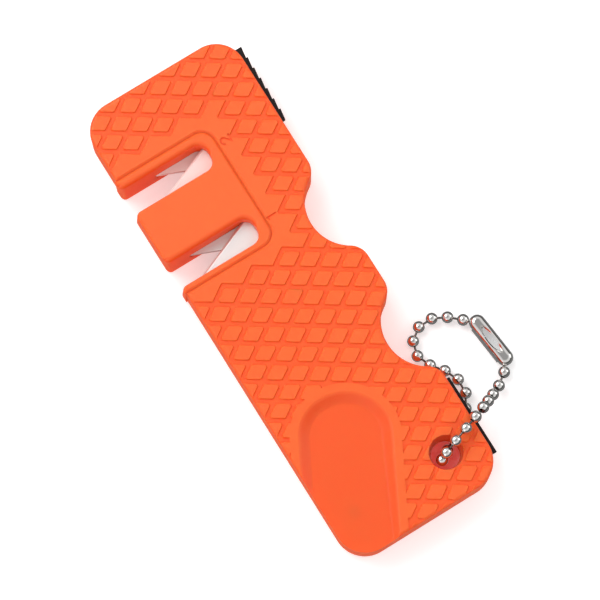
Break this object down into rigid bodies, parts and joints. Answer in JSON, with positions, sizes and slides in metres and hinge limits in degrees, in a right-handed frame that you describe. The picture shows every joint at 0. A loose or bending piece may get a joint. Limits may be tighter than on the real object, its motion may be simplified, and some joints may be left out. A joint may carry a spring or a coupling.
{
  "type": "pocket knife sharpener",
  "caption": "Flat two-stage pull-through pocket knife sharpener with V-set plates in side slots, finger grooves, thumb recess, edge strips and a ball chain.",
  "frame": {"origin": "centre of the flat rear face, on the surface that the sharpener lies on", "axes": "+Y along the body towards the slot end, +X towards the finger grooves, +Z out of the front face"},
  "size_m": [0.0537, 0.113, 0.0134],
  "materials": {
    "orange_plastic": "satin moulded",
    "carbide": "ground",
    "ceramic": "fine fired ceramic",
    "black_steel": "black oxide",
    "screw_steel": "zinc plated",
    "nickel_chain": "bright nickel plate"
  },
  "bodies": {
    "casing": {"front_shell": "orange_plastic", "rear_shell": "orange_plastic", "blade_cartridge": "orange_plastic", "carbide_plate_front": "carbide", "carbide_plate_rear": "carbide", "ceramic_plate_front": "ceramic", "ceramic_plate_rear": "ceramic", "toothed_strip": "black_steel", "plain_strip": "black_steel", "shell_screw_1": "screw_steel", "shell_screw_2": "screw_steel", "shell_screw_3": "screw_steel", "shell_screw_4": "screw_steel", "shell_screw_5": "screw_steel", "chain_link_13": "nickel_chain", "chain_link_14": "nickel_chain", "chain_link_15": "nickel_chain", "chain_link_16": "nickel_chain", "chain_link_17": "nickel_chain", "chain_link_18": "nickel_chain", "chain_link_19": "nickel_chain", "chain_link_20": "nickel_chain", "chain_link_21": "nickel_chain"},
    "chain_22": {"chain_link_22": "nickel_chain"},
    "chain_23": {"chain_link_23": "nickel_chain"},
    "chain_24": {"chain_link_24": "nickel_chain"},
    "chain_25": {"chain_link_25": "nickel_chain"},
    "chain_26": {"chain_link_26": "nickel_chain"},
    "chain_clasp": {"chain_link_27": "nickel_chain", "chain_link_01": "nickel_chain", "chain_connector": "nickel_chain"},
    "chain_12": {"chain_link_12": "nickel_chain"},
    "chain_11": {"chain_link_11": "nickel_chain"},
    "chain_10": {"chain_link_10": "nickel_chain"},
    "chain_09": {"chain_link_09": "nickel_chain"},
    "chain_08": {"chain_link_08": "nickel_chain"},
    "chain_07": {"chain_link_07": "nickel_chain"},
    "chain_06": {"chain_link_06": "nickel_chain"},
    "chain_05": {"chain_link_05": "nickel_chain"},
    "chain_04": {"chain_link_04": "nickel_chain"},
    "chain_03": {"chain_link_03": "nickel_chain"},
    "chain_02": {"chain_link_02": "nickel_chain"}
  },
  "joints": [
    {"name": "chain_swing", "type": "hinge", "parent": "casing", "child": "chain_22", "pos_m": [0.02205, -0.04251, 0.00955], "axis": [0, 0, -1], "range_deg": [0, 36]},
    {"name": "chain_pivot_23", "type": "hinge", "parent": "chain_22", "child": "chain_23", "pos_m": [0.02402, -0.04164, 0.00691], "axis": [0, 0, -1], "range_deg": [-11.14, 0.5]},
    {"name": "chain_pivot_24", "type": "hinge", "parent": "chain_23", "child": "chain_24", "pos_m": [0.02599, -0.04075, 0.00425], "axis": [0, 0, -1], "range_deg": [-6.54, 0.5]},
    {"name": "chain_pivot_25", "type": "hinge", "parent": "chain_24", "child": "chain_25", "pos_m": [0.02839, -0.03957, 0.00214], "axis": [0, 0, -1], "range_deg": [-2.59, 0.5]},
    {"name": "chain_pivot_26", "type": "hinge", "parent": "chain_25", "child": "chain_26", "pos_m": [0.03104, -0.0376, 0.00139], "axis": [0, 0, -1], "range_deg": [-0.5, 2.31]},
    {"name": "chain_pivot_27", "type": "hinge", "parent": "chain_26", "child": "chain_clasp", "pos_m": [0.0328, -0.0347, 0.0013], "axis": [0, 0, -1], "range_deg": [-0.5, 4.76]},
    {"name": "chain_pivot_13", "type": "hinge", "parent": "casing", "child": "chain_12", "pos_m": [0.01707, -0.04204, 0.00132], "axis": [0, 0, -1], "range_deg": [-0.5, 43.95]},
    {"name": "chain_pivot_12", "type": "hinge", "parent": "chain_12", "child": "chain_11", "pos_m": [0.01975, -0.03992, 0.00135], "axis": [0, 0, -1], "range_deg": [-6.79, 0.5]},
    {"name": "chain_pivot_11", "type": "hinge", "parent": "chain_11", "child": "chain_10", "pos_m": [0.02157, -0.03707, 0.00135], "axis": [0, 0, -1], "range_deg": [-7.65, 0.5]},
    {"name": "chain_pivot_10", "type": "hinge", "parent": "chain_10", "child": "chain_09", "pos_m": [0.02174, -0.03369, 0.00135], "axis": [0, 0, -1], "range_deg": [-5.01, 0.5]},
    {"name": "chain_pivot_09", "type": "hinge", "parent": "chain_09", "child": "chain_08", "pos_m": [0.02034, -0.03061, 0.00135], "axis": [0, 0, -1], "range_deg": [-2.66, 0.5]},
    {"name": "chain_pivot_08", "type": "hinge", "parent": "chain_08", "child": "chain_07", "pos_m": [0.01827, -0.02788, 0.00135], "axis": [0, 0, -1], "range_deg": [-1.33, 0.5]},
    {"name": "chain_pivot_07", "type": "hinge", "parent": "chain_07", "child": "chain_06", "pos_m": [0.01703, -0.02477, 0.00135], "axis": [0, 0, -1], "range_deg": [-1.81, 0.5]},
    {"name": "chain_pivot_06", "type": "hinge", "parent": "chain_06", "child": "chain_05", "pos_m": [0.01795, -0.02154, 0.00135], "axis": [0, 0, -1], "range_deg": [-5.11, 0.5]},
    {"name": "chain_pivot_05", "type": "hinge", "parent": "chain_05", "child": "chain_04", "pos_m": [0.02066, -0.01954, 0.00135], "axis": [0, 0, -1], "range_deg": [-8.38, 0.5]},
    {"name": "chain_pivot_04", "type": "hinge", "parent": "chain_04", "child": "chain_03", "pos_m": [0.02403, -0.01945, 0.00135], "axis": [0, 0, -1], "range_deg": [-3.61, 0.5]},
    {"name": "chain_pivot_03", "type": "hinge", "parent": "chain_03", "child": "chain_02", "pos_m": [0.02708, -0.02099, 0.00135], "axis": [0, 0, -1], "range_deg": [-0.5, 10.15]}
  ],
  "couplings": [
    {"joint": "chain_pivot_23", "follows": "chain_swing", "ratio": -0.2463},
    {"joint": "chain_pivot_24", "follows": "chain_swing", "ratio": -0.1397},
    {"joint": "chain_pivot_25", "follows": "chain_swing", "ratio": -0.0484},
    {"joint": "chain_pivot_26", "follows": "chain_swing", "ratio": 0.0419},
    {"joint": "chain_pivot_27", "follows": "chain_swing", "ratio": 0.0987},
    {"joint": "chain_pivot_13", "follows": "chain_swing", "ratio": 1.0058},
    {"joint": "chain_pivot_12", "follows": "chain_swing", "ratio": -0.1456},
    {"joint": "chain_pivot_11", "follows": "chain_swing", "ratio": -0.1655},
    {"joint": "chain_pivot_10", "follows": "chain_swing", "ratio": -0.1043},
    {"joint": "chain_pivot_09", "follows": "chain_swing", "ratio": -0.05},
    {"joint": "chain_pivot_08", "follows": "chain_swing", "ratio": -0.0193},
    {"joint": "chain_pivot_07", "follows": "chain_swing", "ratio": -0.0303},
    {"joint": "chain_pivot_06", "follows": "chain_swing", "ratio": -0.1068},
    {"joint": "chain_pivot_05", "follows": "chain_swing", "ratio": -0.1823},
    {"joint": "chain_pivot_04", "follows": "chain_swing", "ratio": -0.0721},
    {"joint": "chain_pivot_03", "follows": "chain_swing", "ratio": 0.2233}
  ]
}
